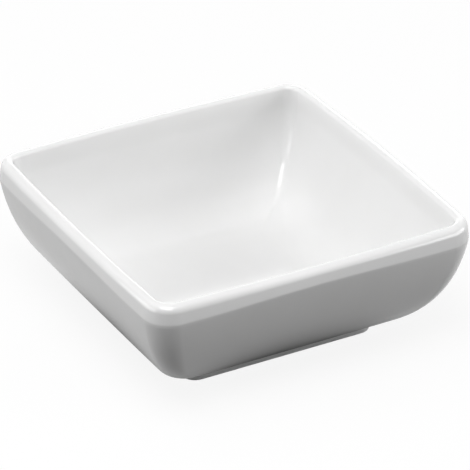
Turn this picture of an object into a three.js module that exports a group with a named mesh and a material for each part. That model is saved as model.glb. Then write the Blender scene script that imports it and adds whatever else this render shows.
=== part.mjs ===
// Square melamine sauce dish: a moulded body with a foot, and the glaze pressed over its food side and lip.
// Millimetres, +Z up. The origin is on the table, under the middle of the dish.
import * as THREE from 'three';

const degrees = THREE.MathUtils.degToRad;

// Overall sizes
const RIM_WIDTH = 85; // between the middles of two sides at the widest line, where the mould's halves meet
const HEIGHT = 32.2; // table to the top of the lip

// Lip
const LIP_HEIGHT = 4.4; // widest line to the top of the lip, at a corner
const SHOULDER_ARCH = 1; // the widest line is this much higher at the middle of a side
const LIP_OUTER_ROUND = 2.1; // two rounds meet at its top: a broad one outside
const LIP_INNER_ROUND = 1; // and a tighter one inside
const LIP_LEAN = degrees(7.4); // its outside leans in by this above the widest line
const LIP_FLARE = degrees(12); // its inside leans out by this below the round
const SHOULDER_RADIUS = 3; // round of the widest line

// Wall and floor
const WALL_THICKNESS = 3.6; // of the wall and of the floor
const WALL_DRAFT = degrees(11.3); // the wall leans in by this just below the widest line
const WALL_TOP_PULL = 5.4; // how long the wall keeps that lean before it curves in
const WALL_BASE_PULL = 17.3; // how long the wall takes to curve into the flat underside
const LIP_EASE = 6; // height over which the inside of the lip eases into the wall

// Underside and foot
const UNDERSIDE_HEIGHT = 2.4; // depth of the recess inside the foot
const UNDERSIDE_FLAT = 40.2; // width of the flat middle of the underside
const FOOT_WIDTH = 50.2; // across the foot where it meets the wall
const FOOT_RING = 4.6; // width of the foot's rim
const FOOT_DRAFT = degrees(8);
const FOOT_EDGE_RADIUS = 0.4;

// Sides and corner radii, seen from above
const SIDE_TURN = degrees(2.4); // the bowed sides turn by this from middle to end, at the widest line
const RIM_CORNER = 6.8; // outside, at the widest line
const BASE_CORNER = 4.3; // outside, at the underside
const FOOT_CORNER = 3.5; // outside, where the foot meets the table
const RECESS_CORNER = 2.5; // inside the foot
const LEAST_CORNER = 1; // the tightest inside corner

// Glaze
const GLAZE_THICKNESS = 0.3;
const GLAZE_CLEARANCE = 0.05; // between the glaze and the body under it

// Steps in the curves
const SIDE_STEPS = 8;
const CORNER_STEPS = 7;
const WALL_STEPS = 12;
const EASE_STEPS = 4;
const LIP_STEPS = 5; // on each side of the lip's top
const SHOULDER_STEPS = 3;
const EDGE_STEPS = 3;
const HALVINGS = 40; // enough to find a point on the wall curve exactly

// The section is drawn in half: x is the distance from the axis to the middle of a side, y is the height.
const point = (x, y) => new THREE.Vector2(x, y);
const polar = (centre, radius, angle) =>
  point(centre.x + radius * Math.cos(angle), centre.y + radius * Math.sin(angle));
const mix = THREE.MathUtils.lerp;

// A point of the section with what it needs to become a square: the radius of the corners, the turn of the
// bowed sides, and how far the middle of a side is lifted.
function knot({ x, y }, corner, turn, lift) {
  return { x, y, corner: Math.max(corner, LEAST_CORNER), turn, lift };
}
const rimKnot = (at, lift) => knot(at, RIM_CORNER - (RIM_WIDTH / 2 - at.x), SIDE_TURN, lift);

function arc(centre, radius, from, to, steps) {
  return Array.from({ length: steps + 1 }, (_, i) => polar(centre, radius, mix(from, to, i / steps)));
}

// Outside of the wall, from the shoulder down and in to the flat underside
const widestHeight = HEIGHT - LIP_HEIGHT;
const rise = (y) => (y - UNDERSIDE_HEIGHT) / (widestHeight - UNDERSIDE_HEIGHT);

// The lift is largest at the widest line, and fades to nothing at the underside and at the top of the lip.
function outsideLift(y, top) {
  return SHOULDER_ARCH * Math.min(rise(y) ** 2, (top - y) / (top - widestHeight));
}
const shoulderCentre = point(RIM_WIDTH / 2 - SHOULDER_RADIUS, widestHeight);
const wallTop = polar(shoulderCentre, SHOULDER_RADIUS, -WALL_DRAFT);
const wallFoot = point(UNDERSIDE_FLAT / 2, UNDERSIDE_HEIGHT);
const wallCurve = new THREE.CubicBezierCurve(
  wallTop,
  point(wallTop.x - WALL_TOP_PULL * Math.sin(WALL_DRAFT), wallTop.y - WALL_TOP_PULL * Math.cos(WALL_DRAFT)),
  point(wallFoot.x + WALL_BASE_PULL, wallFoot.y),
  wallFoot,
);

// The wall curve moved into the wall by a depth. The sides are straight at the underside and bow out towards
// the rim.
function wallKnot(t, depth) {
  const outside = wallCurve.getPoint(t);
  const along = wallCurve.getTangent(t);
  const at = point(outside.x + along.y * depth, outside.y - along.x * depth);
  const share = rise(outside.y);
  const lift = depth > 0 ? 0 : outsideLift(outside.y, HEIGHT);
  return knot(at, mix(BASE_CORNER, RIM_CORNER, share) - depth, SIDE_TURN * share, lift);
}

// Where the wall curve passes a given height or width, by halving
function wallWhere(isAbove) {
  let high = 0;
  let low = 1;
  for (let i = 0; i < HALVINGS; i += 1) {
    const middle = (high + low) / 2;
    if (isAbove(wallCurve.getPoint(middle))) high = middle;
    else low = middle;
  }
  return high;
}

const footRoot = wallWhere((at) => at.x > FOOT_WIDTH / 2);

// The food side, moved into the wall by an inset: from the widest line over the lip and down to the middle
const faceFoot = polar(shoulderCentre, SHOULDER_RADIUS, LIP_LEAN);
const faceRise = HEIGHT - LIP_OUTER_ROUND * (1 - Math.sin(LIP_LEAN)) - faceFoot.y;
const faceTop = faceFoot.x - faceRise * Math.tan(LIP_LEAN);
const lipTop = faceTop - LIP_OUTER_ROUND * Math.cos(LIP_LEAN);
const outerCentre = point(lipTop, HEIGHT - LIP_OUTER_ROUND);
const innerCentre = point(lipTop, HEIGHT - LIP_INNER_ROUND);
const easeEnd = wallWhere((at) => at.y > innerCentre.y - LIP_EASE);

function foodSide(inset) {
  const shoulder = arc(shoulderCentre, SHOULDER_RADIUS - inset, 0, LIP_LEAN, 1);
  const lipOutside = arc(outerCentre, LIP_OUTER_ROUND - inset, LIP_LEAN, Math.PI / 2, LIP_STEPS);
  const innerEnd = Math.PI - LIP_FLARE;
  const lipInside = arc(innerCentre, LIP_INNER_ROUND - inset, Math.PI / 2, innerEnd, LIP_STEPS).slice(1);
  const rim = [
    ...[...shoulder, ...lipOutside].map((at) => rimKnot(at, outsideLift(at.y, HEIGHT - inset))),
    ...lipInside.map((at) => rimKnot(at, 0)),
  ];

  // The inside of the lip leans out, then eases into the lean of the wall.
  const depth = WALL_THICKNESS - inset;
  const start = lipInside.at(-1);
  const end = wallKnot(easeEnd, depth);
  const along = wallCurve.getTangent(easeEnd);
  const pull = (start.y - end.y) / 3;
  const ease = new THREE.CubicBezierCurve(
    start,
    point(start.x - pull * Math.sin(LIP_FLARE), start.y - pull * Math.cos(LIP_FLARE)),
    point(end.x - along.x * pull, end.y - along.y * pull),
    point(end.x, end.y),
  );
  const easeKnots = ease.getPoints(EASE_STEPS).slice(1, -1).map((at, i) => {
    const share = (i + 1) / EASE_STEPS;
    return knot(at, mix(rim.at(-1).corner, end.corner, share), mix(SIDE_TURN, end.turn, share), 0);
  });

  const wallKnots = Array.from({ length: WALL_STEPS + 1 }, (_, i) =>
    wallKnot(mix(easeEnd, 1, i / WALL_STEPS), depth));
  const middle = { x: 0, y: UNDERSIDE_HEIGHT + depth };
  return [...rim, ...easeKnots, ...wallKnots, middle];
}

// One side of a square and the corner after it. Seen from above, the side is a shallow parabola, and the
// corner's arc starts with the slope that the parabola ends with. The lift fades from the middle to the ends.
function sideAndCorner({ x, y, corner, turn, lift }) {
  const radius = Math.min(corner, x);
  const reach = (x - radius * (Math.cos(turn) - Math.sin(turn))) / (1 + Math.tan(turn) / 2);
  const bow = (reach * Math.tan(turn)) / 2;
  const side = Array.from({ length: SIDE_STEPS - 1 }, (_, i) => {
    const share = (2 * (i + 1)) / SIDE_STEPS - 1;
    return new THREE.Vector3(x - bow * share ** 2, reach * share, y + lift * (1 - share ** 2) ** 2);
  });
  const centre = point(reach - radius * Math.sin(turn), reach - radius * Math.sin(turn));
  const bend = arc(centre, radius, turn, Math.PI / 2 - turn, CORNER_STEPS);
  return [...side, ...bend.map((at) => new THREE.Vector3(at.x, at.y, y))];
}

// Skin of a section swept round the square: rings of bowed squares between two points on the axis
function sweptSquare(section) {
  const [bottom, ...rings] = section;
  const top = rings.pop();
  const columns = 4 * (SIDE_STEPS + CORNER_STEPS);
  const axis = new THREE.Vector3(0, 0, 1);
  const vertices = [0, 0, bottom.y];
  for (const ring of rings) {
    for (let quarter = 0; quarter < 4; quarter += 1) {
      for (const at of sideAndCorner(ring)) {
        vertices.push(...at.applyAxisAngle(axis, (quarter * Math.PI) / 2));
      }
    }
  }
  vertices.push(0, 0, top.y);

  const triangles = [];
  const topIndex = 1 + rings.length * columns;
  for (let column = 0; column < columns; column += 1) {
    const next = (column + 1) % columns;
    triangles.push(0, 1 + next, 1 + column);
    for (let ring = 0; ring < rings.length - 1; ring += 1) {
      const lower = 1 + ring * columns;
      const upper = lower + columns;
      triangles.push(lower + column, lower + next, upper + next);
      triangles.push(lower + column, upper + next, upper + column);
    }
    const last = topIndex - columns;
    triangles.push(last + column, last + next, topIndex);
  }
  const geometry = new THREE.BufferGeometry();
  geometry.setAttribute('position', new THREE.Float32BufferAttribute(vertices, 3));
  geometry.setIndex(triangles);
  geometry.computeVertexNormals();
  return geometry;
}

// Foot: a ring that hangs below the wall, with a shallow recess inside it
function footKnots() {
  const outerRoot = wallCurve.getPoint(footRoot);
  const innerRoot = point(outerRoot.x - FOOT_RING, UNDERSIDE_HEIGHT);
  const slope = Math.tan(FOOT_DRAFT);
  const outerEdge = point(outerRoot.x - outerRoot.y * slope - FOOT_EDGE_RADIUS, FOOT_EDGE_RADIUS);
  const innerEdge = point(innerRoot.x + innerRoot.y * slope + FOOT_EDGE_RADIUS, FOOT_EDGE_RADIUS);
  const innerBend = arc(innerEdge, FOOT_EDGE_RADIUS, Math.PI, 1.5 * Math.PI, EDGE_STEPS);
  const outerBend = arc(outerEdge, FOOT_EDGE_RADIUS, -Math.PI / 2, 0, EDGE_STEPS);
  return [
    knot(innerRoot, RECESS_CORNER, 0, 0),
    ...innerBend.map((at) => knot(at, RECESS_CORNER, 0, 0)),
    ...outerBend.map((at) => knot(at, FOOT_CORNER, 0, 0)),
  ];
}

// Body: the recess and foot, the outside of the wall, a ledge for the glaze's edge, the core under the glaze
function bodySection() {
  const wallKnots = Array.from({ length: WALL_STEPS + 1 }, (_, i) =>
    wallKnot(mix(footRoot, 0, i / WALL_STEPS), 0));
  const ledgeAngle = -Math.asin(GLAZE_CLEARANCE / SHOULDER_RADIUS);
  const shoulder = arc(shoulderCentre, SHOULDER_RADIUS, -WALL_DRAFT, ledgeAngle, SHOULDER_STEPS).slice(1);
  const inset = GLAZE_THICKNESS + GLAZE_CLEARANCE;
  const core = foodSide(inset);
  const outsideRim = (at) => rimKnot(at, outsideLift(at.y, HEIGHT));
  const ledge = outsideRim(point(core[0].x, widestHeight - GLAZE_CLEARANCE));
  const middle = { x: 0, y: UNDERSIDE_HEIGHT };
  return [middle, ...footKnots(), ...wallKnots, ...shoulder.map(outsideRim), ledge, ...core];
}

// Glaze: its back lies on the body, its face is the food side, and its edge ends at the widest line
function glazeSection() {
  const back = foodSide(GLAZE_THICKNESS).reverse();
  return [...back, ...foodSide(0)];
}

const bodyMaterial = new THREE.MeshStandardMaterial({ color: 0xefeeec, roughness: 0.35, metalness: 0 });
const glazeMaterial = new THREE.MeshStandardMaterial({ color: 0xf6f6f5, roughness: 0.12, metalness: 0 });

function piece(name, section, material) {
  const mesh = new THREE.Mesh(sweptSquare(section), material);
  mesh.name = name;
  return mesh;
}

const dish = new THREE.Group();
dish.name = 'square_sauce_dish';
dish.add(piece('moulded_body', bodySection(), bodyMaterial));
dish.add(piece('glaze_layer', glazeSection(), glazeMaterial));

export default dish;
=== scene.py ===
# %% [markdown]
# # A square sauce dish in white melamine
#
# Melamine tableware is pressed from powder in a hot steel mould. The first shot makes the white body,
# with its walls, its lip and its low foot. The second shot presses a thin, hard, very glossy glaze over
# the side that holds the food. Nothing is screwed or glued on, so the dish has only these two pieces.
# This lesson loads the measured solids as a frame that never moves, makes a finer mesh for each of them,
# gives both a finish, and sets up the studio.

# %% Load the frame
import math
from collections import namedtuple

import bmesh
import bpy
from mathutils import Matrix, Vector


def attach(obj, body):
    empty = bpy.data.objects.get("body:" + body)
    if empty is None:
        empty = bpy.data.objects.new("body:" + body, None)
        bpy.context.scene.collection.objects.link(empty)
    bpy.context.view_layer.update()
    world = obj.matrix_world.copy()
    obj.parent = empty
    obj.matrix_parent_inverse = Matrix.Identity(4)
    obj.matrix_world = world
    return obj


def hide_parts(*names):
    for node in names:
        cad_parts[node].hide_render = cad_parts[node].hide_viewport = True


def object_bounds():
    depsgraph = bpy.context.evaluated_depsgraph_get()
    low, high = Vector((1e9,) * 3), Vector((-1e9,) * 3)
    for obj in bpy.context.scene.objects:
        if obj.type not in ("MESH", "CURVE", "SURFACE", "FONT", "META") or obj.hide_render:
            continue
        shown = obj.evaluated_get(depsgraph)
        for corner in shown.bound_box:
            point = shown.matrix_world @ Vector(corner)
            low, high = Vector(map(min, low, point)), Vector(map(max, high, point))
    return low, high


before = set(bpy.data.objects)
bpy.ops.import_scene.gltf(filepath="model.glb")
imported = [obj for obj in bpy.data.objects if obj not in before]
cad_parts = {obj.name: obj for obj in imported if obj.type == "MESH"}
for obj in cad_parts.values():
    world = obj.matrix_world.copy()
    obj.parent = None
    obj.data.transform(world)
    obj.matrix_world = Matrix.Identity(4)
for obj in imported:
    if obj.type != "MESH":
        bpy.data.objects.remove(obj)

MM = 0.001

cad_low, cad_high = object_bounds()
print("CAD box, mm:", [round(side / MM, 2) for side in cad_high - cad_low])

# %% [markdown]
# ## The section
#
# A moulded dish is easiest to draw as half a section, cut from the middle of the floor out to the middle
# of a side. The rim's width and the height come from the frame. The other sizes repeat those of the
# solids, in metres. A lathe would turn this section into a round bowl, so it can't be used here: each
# point of the section also carries the radius of the square's rounded corners at that place, how far its
# sides turn as they bow out, and how far the middle of a side is lifted.

# %% Sizes of the section
RIM_WIDTH = cad_high.x - cad_low.x
HEIGHT = cad_high.z

LIP_HEIGHT = 4.4 * MM
LIP_OUTER_ROUND = 2.1 * MM
LIP_INNER_ROUND = 1.0 * MM
LIP_LEAN = math.radians(7.4)
LIP_FLARE = math.radians(12)
LIP_EASE = 6.0 * MM
SHOULDER_RADIUS = 3.0 * MM
SHOULDER_ARCH = 1.0 * MM

WALL_THICKNESS = 3.6 * MM
WALL_DRAFT = math.radians(11.3)
WALL_TOP_PULL = 5.4 * MM
WALL_BASE_PULL = 17.3 * MM

UNDERSIDE_HEIGHT = 2.4 * MM
UNDERSIDE_FLAT = 40.2 * MM
FOOT_WIDTH = 50.2 * MM
FOOT_RING = 4.6 * MM
FOOT_DRAFT = math.radians(8)
FOOT_EDGE_RADIUS = 0.4 * MM
ROOT_FILLET = 0.8 * MM

SIDE_TURN = math.radians(2.4)
RIM_CORNER = 6.8 * MM
BASE_CORNER = 4.3 * MM
FOOT_CORNER = 3.5 * MM
RECESS_CORNER = 2.5 * MM
LEAST_CORNER = 1.0 * MM

GLAZE_THICKNESS = 0.3 * MM
print("Section:", round(RIM_WIDTH / MM, 2), "mm wide and", round(HEIGHT / MM, 2), "mm high")

# %% [markdown]
# ## Points and curves
#
# A knot is one point of the section with all that it carries. Rounds are drawn as arcs, and long sweeps
# as Bezier curves. Mixing the control points of a Bezier curve in pairs, again and again, gives a point
# on the curve and its direction there.

# %% Points and curves
Knot = namedtuple("Knot", "x y corner turn lift")


def knot(at, corner, turn, lift=0):
    return Knot(at.x, at.y, max(corner, LEAST_CORNER), turn, lift)


def polar(centre, radius, angle):
    return centre + radius * Vector((math.cos(angle), math.sin(angle)))


def arc(centre, radius, start, end, steps):
    return [polar(centre, radius, start + (end - start) * i / steps) for i in range(steps + 1)]


def bezier(controls, t):
    """A point of a Bezier curve, and the direction of the curve there."""
    while len(controls) > 2:
        controls = [a.lerp(b, t) for a, b in zip(controls, controls[1:])]
    return controls[0].lerp(controls[1], t), (controls[1] - controls[0]).normalized()


print("A knot carries:", Knot._fields)

# %% [markdown]
# ## The wall
#
# The outside of the wall is one Bezier curve. It keeps its lean for a while below the widest line and
# then sweeps in under the dish. A step to the side of its direction gives the inside of the wall at an
# even thickness. From the underside up to the widest line the corners grow wider and the sides bow out
# more and more. On the outside, the middle of each side is lifted as well, so the crease at the widest
# line is a low arch.

# %% The wall
HALVINGS = 40

widest_height = HEIGHT - LIP_HEIGHT
shoulder_centre = Vector((RIM_WIDTH / 2 - SHOULDER_RADIUS, widest_height))
wall_top = polar(shoulder_centre, SHOULDER_RADIUS, -WALL_DRAFT)
wall_foot = Vector((UNDERSIDE_FLAT / 2, UNDERSIDE_HEIGHT))
wall_lean = Vector((math.sin(WALL_DRAFT), math.cos(WALL_DRAFT)))
wall_bend = wall_foot + Vector((WALL_BASE_PULL, 0))
WALL = [wall_top, wall_top - WALL_TOP_PULL * wall_lean, wall_bend, wall_foot]


def rise(y):
    """0 at the underside, 1 at the widest line."""
    return (y - UNDERSIDE_HEIGHT) / (widest_height - UNDERSIDE_HEIGHT)


def outside_lift(y, top):
    """Lift of the middle of a side: most at the widest line, none at the underside and the top."""
    return SHOULDER_ARCH * min(rise(y) ** 2, (top - y) / (top - widest_height))


def wall_knot(t, depth):
    """A point of the wall, moved from its outside into it by a depth."""
    outside, along = bezier(WALL, t)
    share = rise(outside.y)
    corner = BASE_CORNER + (RIM_CORNER - BASE_CORNER) * share
    lift = 0 if depth > 0 else outside_lift(outside.y, HEIGHT)
    return knot(outside + depth * Vector((along.y, -along.x)), corner - depth, SIDE_TURN * share, lift)


def wall_where(is_above):
    """How far along the wall a test stops being true, by halving."""
    high, low = 0.0, 1.0
    for _ in range(HALVINGS):
        middle = (high + low) / 2
        if is_above(bezier(WALL, middle)[0]):
            high = middle
        else:
            low = middle
    return high


print("Wall, mm:", [[round(v / MM, 2) for v in control] for control in WALL])

# %% [markdown]
# ## The food side
#
# Seen in section, the food side starts at the widest line, goes up the leaning outside of the lip, and
# over its top, where a broad round meets a tighter one. It flares down inside the lip and eases into the
# wall before it follows the wall down to the floor. The glaze has this line as its face. The same line,
# set a little deeper, is the back of the glaze and the top of the body under it.

# %% The food side
WALL_STEPS = 48
LIP_FOOT_STEPS = 4
LIP_STEPS = 14
EASE_STEPS = 10
FLOOR_STEPS = 5
MIDDLE_WIDTH = 8.0 * MM

face_foot = polar(shoulder_centre, SHOULDER_RADIUS, LIP_LEAN)
face_rise = HEIGHT - LIP_OUTER_ROUND * (1 - math.sin(LIP_LEAN)) - face_foot.y
face_top = face_foot.x - face_rise * math.tan(LIP_LEAN)
lip_top = face_top - LIP_OUTER_ROUND * math.cos(LIP_LEAN)
outer_centre = Vector((lip_top, HEIGHT - LIP_OUTER_ROUND))
inner_centre = Vector((lip_top, HEIGHT - LIP_INNER_ROUND))
flare = Vector((math.sin(LIP_FLARE), math.cos(LIP_FLARE)))
ease_end = wall_where(lambda at: at.y > inner_centre.y - LIP_EASE)


def inside_rim(at):
    """A point near the rim, with a tighter corner the further in it lies."""
    return knot(at, RIM_CORNER - (RIM_WIDTH / 2 - at.x), SIDE_TURN)


def outside_rim(at, top):
    """A point on the outside of the rim, which takes part in the arch of the crease."""
    return inside_rim(at)._replace(lift=outside_lift(at.y, top))


def floor_knots(start):
    """Rings of a flat floor, from its edge in to a small square at the middle."""
    widths = [start.x + (MIDDLE_WIDTH / 2 - start.x) * i / FLOOR_STEPS for i in range(1, FLOOR_STEPS + 1)]
    return [start._replace(x=width) for width in widths]


def food_side(inset):
    """The line of the food side, set deeper by an inset."""
    lip_foot = arc(shoulder_centre, SHOULDER_RADIUS - inset, 0, LIP_LEAN, LIP_FOOT_STEPS)
    lip_outside = arc(outer_centre, LIP_OUTER_ROUND - inset, LIP_LEAN, math.pi / 2, LIP_STEPS)
    lip_inside = arc(inner_centre, LIP_INNER_ROUND - inset, math.pi / 2, math.pi - LIP_FLARE, LIP_STEPS)[1:]
    rim = [outside_rim(at, HEIGHT - inset) for at in lip_foot + lip_outside]
    rim += [inside_rim(at) for at in lip_inside]

    depth = WALL_THICKNESS - inset
    end = wall_knot(ease_end, depth)
    lean = bezier(WALL, ease_end)[1]
    start_point = lip_inside[-1]
    end_point = Vector((end.x, end.y))
    pull = (start_point.y - end.y) / 3
    controls = [start_point, start_point - pull * flare, end_point - pull * lean, end_point]
    ease = []
    for i in range(1, EASE_STEPS):
        share = i / EASE_STEPS
        corner = rim[-1].corner + (end.corner - rim[-1].corner) * share
        turn = SIDE_TURN + (end.turn - SIDE_TURN) * share
        ease.append(knot(bezier(controls, share)[0], corner, turn))
    wall = [wall_knot(ease_end + (1 - ease_end) * i / WALL_STEPS, depth) for i in range(WALL_STEPS + 1)]
    return rim + ease + wall + floor_knots(wall[-1])


food_face = food_side(0)
print("Food side:", len(food_face), "rings, floor", round(food_face[-1].y / MM, 2), "mm above the table")

# %% [markdown]
# ## From section to mesh
#
# Every knot of a section becomes a ring: a square with rounded corners at that height. The sides of the
# real dish bow out a little towards the rim, so each side is a shallow parabola, and the corner's arc
# starts with the slope that the parabola ends with. The lift fades from the middle of a side to its ends.
# All rings have the same number of points, so neighbours join with clean four-sided faces. A fan of
# triangles closes the flat middle at each end, because one face with points in line along its sides would
# be cut into slivers.

# %% Rings and faces
CORNER_STEPS = 20
SIDE_STEPS = 12
SHARP_ANGLE = math.radians(35)


def ring(at):
    """Points round a rounded square, one quarter turn after another."""
    corner = min(at.corner, at.x / 2)
    reach = (at.x - corner * (math.cos(at.turn) - math.sin(at.turn))) / (1 + math.tan(at.turn) / 2)
    bow = reach * math.tan(at.turn) / 2
    shares = [2 * i / SIDE_STEPS - 1 for i in range(1, SIDE_STEPS)]
    heights = [at.y + at.lift * (1 - share ** 2) ** 2 for share in shares]
    side = [Vector((at.x - bow * share ** 2, reach * share, z)) for share, z in zip(shares, heights)]
    middle = reach - corner * math.sin(at.turn)
    bend = arc(Vector((middle, middle)), corner, at.turn, math.pi / 2 - at.turn, CORNER_STEPS)
    bend = [Vector((point.x, point.y, at.y)) for point in bend]
    quarters = [Matrix.Rotation(quarter * math.pi / 2, 3, "Z") for quarter in range(4)]
    return [quarter @ point for quarter in quarters for point in side + bend]


def swept_dish(name, section):
    """A closed mesh through the rings of a section, with a fan over the first ring and the last."""
    build = bmesh.new()
    rings = [[build.verts.new(point) for point in ring(at)] for at in section]
    for lower, upper in zip(rings, rings[1:]):
        for i in range(len(lower)):
            build.faces.new((lower[i - 1], lower[i], upper[i], upper[i - 1]))
    for end, height in ((rings[0][::-1], section[0].y), (rings[-1], section[-1].y)):
        middle = build.verts.new((0, 0, height))
        for i in range(len(end)):
            build.faces.new((end[i - 1], end[i], middle))
    mesh = bpy.data.meshes.new(name)
    build.to_mesh(mesh)
    build.free()
    mesh.shade_smooth()
    mesh.set_sharp_from_angle(angle=SHARP_ANGLE)
    piece = bpy.data.objects.new(name, mesh)
    bpy.context.scene.collection.objects.link(piece)
    print(name, "has", len(mesh.polygons), "faces")
    return piece


print("Each ring has", len(ring(food_face[0])), "points")

# %% [markdown]
# ## The moulded body
#
# The body is the white core of the dish. Its foot is a low square ring that hangs below the wall, with
# small rounds on its edges and a shallow recess inside it, so that only the ring touches the table. The
# body ends at the widest line in a small ledge, where the glaze begins.

# %% The moulded body
EDGE_STEPS = 6
FILLET_STEPS = 6
SHOULDER_STEPS = 6

foot_root = wall_where(lambda at: at.x > FOOT_WIDTH / 2)


def foot_knots():
    """The recess and the ring of the foot, from the middle of the underside out to the wall."""
    outer_root = bezier(WALL, foot_root)[0]
    inner_root = Vector((outer_root.x - FOOT_RING, UNDERSIDE_HEIGHT))
    slope = math.tan(FOOT_DRAFT)
    outer_edge = Vector((outer_root.x - outer_root.y * slope - FOOT_EDGE_RADIUS, FOOT_EDGE_RADIUS))
    inner_edge = Vector((inner_root.x + inner_root.y * slope + FOOT_EDGE_RADIUS, FOOT_EDGE_RADIUS))
    fillet_centre = inner_root + Vector((ROOT_FILLET * (slope - 1), -ROOT_FILLET))
    fillet = arc(fillet_centre, ROOT_FILLET, math.pi / 2, FOOT_DRAFT, FILLET_STEPS)
    inner_bend = arc(inner_edge, FOOT_EDGE_RADIUS, math.pi, 1.5 * math.pi, EDGE_STEPS)
    outer_bend = arc(outer_edge, FOOT_EDGE_RADIUS, -math.pi / 2, 0, EDGE_STEPS)
    recess = [knot(at, RECESS_CORNER, 0) for at in fillet + inner_bend]
    ceiling = floor_knots(recess[0])[::-1]
    return ceiling + recess + [knot(at, FOOT_CORNER, 0) for at in outer_bend]


def body_section():
    """The line round the whole body, from the middle of the underside to the middle of the floor."""
    wall = [wall_knot(foot_root * (1 - i / WALL_STEPS), 0) for i in range(WALL_STEPS + 1)]
    shoulder = arc(shoulder_centre, SHOULDER_RADIUS, -WALL_DRAFT, 0, SHOULDER_STEPS)[1:]
    return foot_knots() + wall + [outside_rim(at, HEIGHT) for at in shoulder] + food_side(GLAZE_THICKNESS)


dish_body = swept_dish("dish_body", body_section())
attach(dish_body, "root")
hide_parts("moulded_body")

# %% [markdown]
# ## The glaze
#
# The glaze is a skin a third of a millimetre thick. It covers the floor and the inside of the walls,
# wraps over the lip and ends at the widest line, so it is made as a closed shell with a back and a face.

# %% The glaze
dish_glaze = swept_dish("dish_glaze", food_side(GLAZE_THICKNESS)[::-1] + food_face)
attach(dish_glaze, "root")
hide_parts("glaze_layer")

# %% [markdown]
# ## Shader sums in Python
#
# A material is a tree of nodes. Wiring them one by one hides the idea, so this small class holds one
# socket and lets Python's own signs add the Math nodes. Any other node comes from its add method: the
# settings are made first, and then each inlet gets a value or a link.

# %% Shader sums in Python


class Shade:
    """One socket of a node tree, which can take part in Python sums."""

    def __init__(self, tree, socket=None):
        self.tree = tree
        self.socket = socket

    def add(self, kind, settings=None, inlets=None, outlet=0):
        node = self.tree.nodes.new(kind)
        for name, value in (settings or {}).items():
            setattr(node, name, value)
        for name, value in (inlets or {}).items():
            if isinstance(value, Shade):
                self.tree.links.new(value.socket, node.inputs[name])
            else:
                node.inputs[name].default_value = value
        return Shade(self.tree, node.outputs[outlet] if node.outputs else None)

    def math(self, operation, first, second):
        return self.add("ShaderNodeMath", {"operation": operation}, {0: first, 1: second})

    def __add__(self, other):
        return self.math("ADD", self, other)

    def __rsub__(self, other):
        return self.math("SUBTRACT", other, self)

    def __mul__(self, other):
        return self.math("MULTIPLY", self, other)

    __radd__ = __add__
    __rmul__ = __mul__

    def between(self, low, high):
        """0 up to the low value, 1 from the high value on, and smooth between them."""
        settings = {"interpolation_type": "SMOOTHSTEP"}
        return self.add("ShaderNodeMapRange", settings, {"Value": self, "From Min": low, "From Max": high})

    def mix(self, first, second):
        """A colour mix, with this value as its factor."""
        inlets = {"Factor": self, "A": first, "B": second}
        return self.add("ShaderNodeMix", {"data_type": "RGBA"}, inlets, outlet="Result")


def grey(level):
    return (level, level, level, 1)


def new_material(name):
    material = bpy.data.materials.new(name)
    material.use_nodes = True
    material.node_tree.nodes.clear()
    return material, Shade(material.node_tree)


print("Shader sums are ready for +, - and *")

# %% [markdown]
# ## Marks of moulding and use
#
# Moulded melamine is an even white, but not a perfect one: the powder flows as it sets, which leaves faint
# clouds. Polished steel gives it a high gloss, with waves too low to see except in reflections. Use leaves
# smears that are a little duller. Soft noise at three sizes makes all three.

# %% Marks of moulding and use
MELAMINE_IOR = 1.58
NOISE_ROUGHNESS = 0.55
CLOUD_DETAIL = 2.0
CLOUD_LIMITS = (0.35, 0.7)
SMEAR_DETAIL = 4.0
SMEAR_LIMITS = (0.4, 0.75)
WAVE_DETAIL = 1.0
WAVE_DEPTH = 0.05 * MM


def noise(shade, where, size, detail):
    """Soft noise with grains of about a given size, in metres."""
    inlets = {"Vector": where, "Scale": 1 / size, "Detail": detail, "Roughness": NOISE_ROUGHNESS}
    return shade.add("ShaderNodeTexNoise", inlets=inlets)


def moulding_marks(shade, where, cloud_size, smear_size, wave_size, wave_strength):
    """How cloudy and how smeared a place is, from 0 to 1, and the normal that the waves give it."""
    clouds = noise(shade, where, cloud_size, CLOUD_DETAIL).between(*CLOUD_LIMITS)
    smears = noise(shade, where, smear_size, SMEAR_DETAIL).between(*SMEAR_LIMITS)
    waves = noise(shade, where, wave_size, WAVE_DETAIL)
    inlets = {"Strength": wave_strength, "Distance": WAVE_DEPTH, "Height": waves}
    return clouds, smears, shade.add("ShaderNodeBump", inlets=inlets)


def melamine(shade, colour, roughness, normal):
    """Ends a material with the shine of melamine."""
    inlets = {"Base Color": colour, "Roughness": roughness, "IOR": MELAMINE_IOR, "Normal": normal}
    surface = shade.add("ShaderNodeBsdfPrincipled", inlets=inlets)
    shade.add("ShaderNodeOutputMaterial", inlets={"Surface": surface})


print("Refractive index of melamine:", MELAMINE_IOR)

# %% [markdown]
# ## Finish of the glaze
#
# The glaze is the glossier of the two pieces, and its marks are a little broader. It is also the
# whiter, because the body's white is painted deeper as shade.

# %% Finish of the glaze
WHITE_GLAZE = (0.8, 0.8, 0.799, 1)
WHITE_GLAZE_CLOUD = (0.787, 0.787, 0.785, 1)
GLAZE_MARKS = dict(cloud_size=18 * MM, smear_size=9 * MM, wave_size=2.6 * MM, wave_strength=0.05)
GLAZE_ROUGHNESS = 0.1
GLAZE_SMEAR_ROUGHNESS = 0.05


def glaze_finish():
    material, shade = new_material("white_glaze")
    where = shade.add("ShaderNodeTexCoord", outlet="Object")
    clouds, smears, normal = moulding_marks(shade, where, **GLAZE_MARKS)
    colour = clouds.mix(WHITE_GLAZE, WHITE_GLAZE_CLOUD)
    roughness = GLAZE_ROUGHNESS + GLAZE_SMEAR_ROUGHNESS * smears
    melamine(shade, colour, roughness, normal)
    return material


dish_glaze.data.materials.append(glaze_finish())
print("Finish:", dish_glaze.data.materials[0].name)
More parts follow.
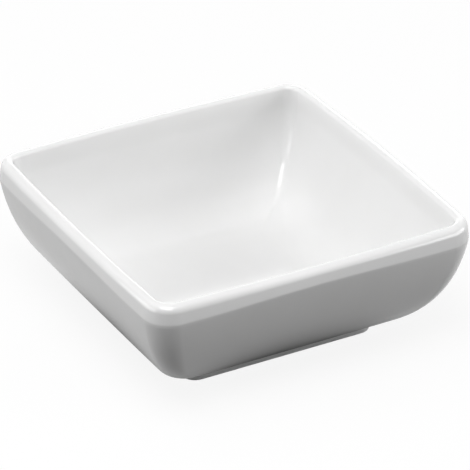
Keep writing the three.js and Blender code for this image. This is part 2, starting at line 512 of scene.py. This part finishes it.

# %% [markdown]
# ## Finish of the body
#
# The body has no glaze of its own, so it is less glossy. Its white is painted a little deeper than the
# glaze's: painted shade that darkens the outer walls below the lip. The foot's rim is ground flat and
# then slides over tables, so it is duller, with fine grey scuffs. Height above the table tells the rim
# from the rest.

# %% Finish of the body
# Painted shade: the body's whites are set deeper than the glaze's, to darken the outer walls.
WHITE_BODY_WITH_PAINTED_SHADE = (0.76, 0.76, 0.758, 1)
WHITE_BODY_CLOUD_WITH_PAINTED_SHADE = (0.745, 0.745, 0.742, 1)
BODY_MARKS = dict(cloud_size=15 * MM, smear_size=7 * MM, wave_size=2.2 * MM, wave_strength=0.06)
BODY_ROUGHNESS = 0.2
BODY_SMEAR_ROUGHNESS = 0.06
RIM_ROUGHNESS = 0.3
SCUFFED = (0.6, 0.595, 0.58, 1)
SCUFF_HEIGHT = 0.35 * MM
SCUFF_SIZE = 0.8 * MM
SCUFF_DETAIL = 5.0
SCUFF_LIMITS = (0.45, 0.7)


def body_finish():
    material, shade = new_material("white_body")
    where = shade.add("ShaderNodeTexCoord", outlet="Object")
    height = shade.add("ShaderNodeSeparateXYZ", inlets={"Vector": where}, outlet="Z")
    on_rim = 1 - height.between(0, SCUFF_HEIGHT)
    scuffs = noise(shade, where, SCUFF_SIZE, SCUFF_DETAIL).between(*SCUFF_LIMITS) * on_rim
    clouds, smears, normal = moulding_marks(shade, where, **BODY_MARKS)
    colour = scuffs.mix(clouds.mix(WHITE_BODY_WITH_PAINTED_SHADE, WHITE_BODY_CLOUD_WITH_PAINTED_SHADE), SCUFFED)
    roughness = BODY_ROUGHNESS + BODY_SMEAR_ROUGHNESS * smears + RIM_ROUGHNESS * on_rim
    melamine(shade, colour, roughness, normal)
    return material


dish_body.data.materials.append(body_finish())
print("Finish:", dish_body.data.materials[0].name)

# %% [markdown]
# ## The floor
#
# The dish stands on a plain floor that the camera sees as a glowing white sheet, as in a catalogue
# picture. A small share of it stays plain paint, which keeps the dish's shadow. Reflections see the white
# sheet too, except close to the dish, where they see a dark patch that fades out: a painted shade that
# stands in for the dish's own shade. Light that bounces from the floor on to the dish sees a dark sheet
# instead, a painted shade, so the underside stays in shade, as it does in the photograph.

# %% The floor
FLOOR_WIDTH = 6.0
FLOOR_BOUNCE = grey(0.05)
FLOOR_PAINT = grey(0.92)
FLOOR_GLOW = 0.88
PAINTED_SHADE_START = 26 * MM
PAINTED_SHADE_END = 52 * MM
WHITE = grey(1.0)

floor_mesh = bpy.data.meshes.new("floor")
half = FLOOR_WIDTH / 2
corners = [(-half, -half, 0), (half, -half, 0), (half, half, 0), (-half, half, 0)]
floor_mesh.from_pydata(corners, [], [(0, 1, 2, 3)])
floor = bpy.data.objects.new("floor", floor_mesh)
bpy.context.scene.collection.objects.link(floor)


def seen_rays(shade):
    """1 for rays straight from the camera, and 1 for rays that come by reflection or through glass."""
    camera_ray = shade.add("ShaderNodeLightPath", outlet="Is Camera Ray")
    glossy_ray = shade.add("ShaderNodeLightPath", outlet="Is Glossy Ray")
    through_ray = shade.add("ShaderNodeLightPath", outlet="Is Transmission Ray")
    return camera_ray, glossy_ray + through_ray


def floor_finish():
    material, shade = new_material("pale_floor")
    straight, reflected = seen_rays(shade)
    where = shade.add("ShaderNodeTexCoord", outlet="Object")
    from_middle = shade.add("ShaderNodeVectorMath", {"operation": "LENGTH"}, {0: where}, outlet="Value")
    # Painted shade: close to the dish, reflected rays see the dark bounce colour and no glow.
    seen = straight + reflected * from_middle.between(PAINTED_SHADE_START, PAINTED_SHADE_END)
    paint = shade.add("ShaderNodeBsdfDiffuse", inlets={"Color": seen.mix(FLOOR_BOUNCE, FLOOR_PAINT)})
    glow = shade.add("ShaderNodeEmission", inlets={"Color": WHITE, "Strength": 1.0})
    surface = shade.add("ShaderNodeMixShader", inlets={0: seen * FLOOR_GLOW, 1: paint, 2: glow})
    shade.add("ShaderNodeOutputMaterial", inlets={"Surface": surface})
    return material


floor_mesh.materials.append(floor_finish())
print("Floor:", FLOOR_WIDTH, "m wide")

# %% [markdown]
# ## Lamps
#
# White on white needs light from many sides, or the walls turn too grey. Three soft boxes hang above the
# dish and light its inside: a very large one overhead, the key above the front corner and a broad one
# above the far left. Two low, wide boxes light the outer walls from the left and the right. Small boxes
# would do that too, but the glaze would show them as hard bright dots. The last one stands behind, and
# its reflection whitens the far rims. Each box has an azimuth round from the front and an elevation, both
# in degrees, a width and a height in metres, and a power in watts.

# %% Lamps
LAMP_DISTANCE = 0.9
LAMP_AIM = Vector((0, 0, HEIGHT / 2))


def towards(azimuth, elevation):
    """The direction from the dish to an azimuth and an elevation in degrees."""
    a = math.radians(azimuth)
    e = math.radians(elevation)
    return Vector((math.sin(a) * math.cos(e), -math.cos(a) * math.cos(e), math.sin(e)))


def soft_box(name, azimuth, elevation, size, power):
    lamp = bpy.data.lights.new(name, "AREA")
    lamp.shape = "RECTANGLE"
    lamp.size, lamp.size_y = size
    lamp.energy = power
    holder = bpy.data.objects.new(name, lamp)
    bpy.context.scene.collection.objects.link(holder)
    away = towards(azimuth, elevation)
    holder.location = LAMP_AIM + away * LAMP_DISTANCE
    holder.rotation_euler = away.to_track_quat("Z", "Y").to_euler()


soft_box("top_box", 0, 90, (1.3, 1.3), 2.2)
soft_box("key_box", -45, 65, (0.55, 0.55), 5.1)
soft_box("high_box", -135, 65, (0.8, 0.8), 1.5)
soft_box("left_box", -108, 15, (0.9, 0.4), 3.3)
soft_box("right_box", 58, 14, (0.9, 0.4), 4.5)
soft_box("back_box", 148, 18, (0.8, 0.45), 1.7)
print("Lamps:", [o.name for o in bpy.context.scene.objects if o.type == "LIGHT"])

# %% [markdown]
# ## Backdrop
#
# The world is a white backdrop that only the camera and reflections see. For all other rays it is black,
# and lighting the dish is left to the lamps.

# %% Backdrop
BLACK = grey(0.0)

world = bpy.data.worlds.new("studio")
bpy.context.scene.world = world
world.use_nodes = True
world.node_tree.nodes.clear()
studio = Shade(world.node_tree)
straight, reflected = seen_rays(studio)
sky = (straight + reflected).mix(BLACK, WHITE)
backdrop = studio.add("ShaderNodeBackground", inlets={"Color": sky, "Strength": 1.0})
studio.add("ShaderNodeOutputWorld", inlets={"Surface": backdrop})
print("Backdrop:", len(world.node_tree.nodes), "nodes")

# %% [markdown]
# ## Camera
#
# A long lens looks down at about thirty degrees from nine tenths of a metre away, with one corner of the
# dish turned towards it. Long lenses keep parallel edges nearly parallel, as in a catalogue picture.

# %% Camera
CAMERA_AZIMUTH = -29.1746
CAMERA_ELEVATION = 29.7081
CAMERA_ROLL = math.radians(0.2629)
CAMERA_DISTANCE = 895.1 * MM
LENS = 293.52
SENSOR = 36.0
AIM_HEIGHT = 12.75 * MM
AIM_RIGHT = 0.923 * MM
AIM_UP = 6.237 * MM

back = towards(CAMERA_AZIMUTH, CAMERA_ELEVATION)
right = towards(CAMERA_AZIMUTH + 90, 0)
up = back.cross(right)
aim = Vector((0, 0, AIM_HEIGHT)) + AIM_RIGHT * right + AIM_UP * up
turned_right = math.cos(CAMERA_ROLL) * right + math.sin(CAMERA_ROLL) * up
turned_up = math.cos(CAMERA_ROLL) * up - math.sin(CAMERA_ROLL) * right
facing = Matrix((turned_right, turned_up, back)).transposed()

camera_data = bpy.data.cameras.new("camera")
camera_data.lens = LENS
camera_data.sensor_width = SENSOR
camera = bpy.data.objects.new("camera", camera_data)
bpy.context.scene.collection.objects.link(camera)
camera.matrix_world = Matrix.Translation(aim + CAMERA_DISTANCE * back) @ facing.to_4x4()
bpy.context.scene.camera = camera
bpy.context.scene.view_settings.view_transform = "Standard"
print("Camera at", [round(v, 3) for v in camera.matrix_world.translation])
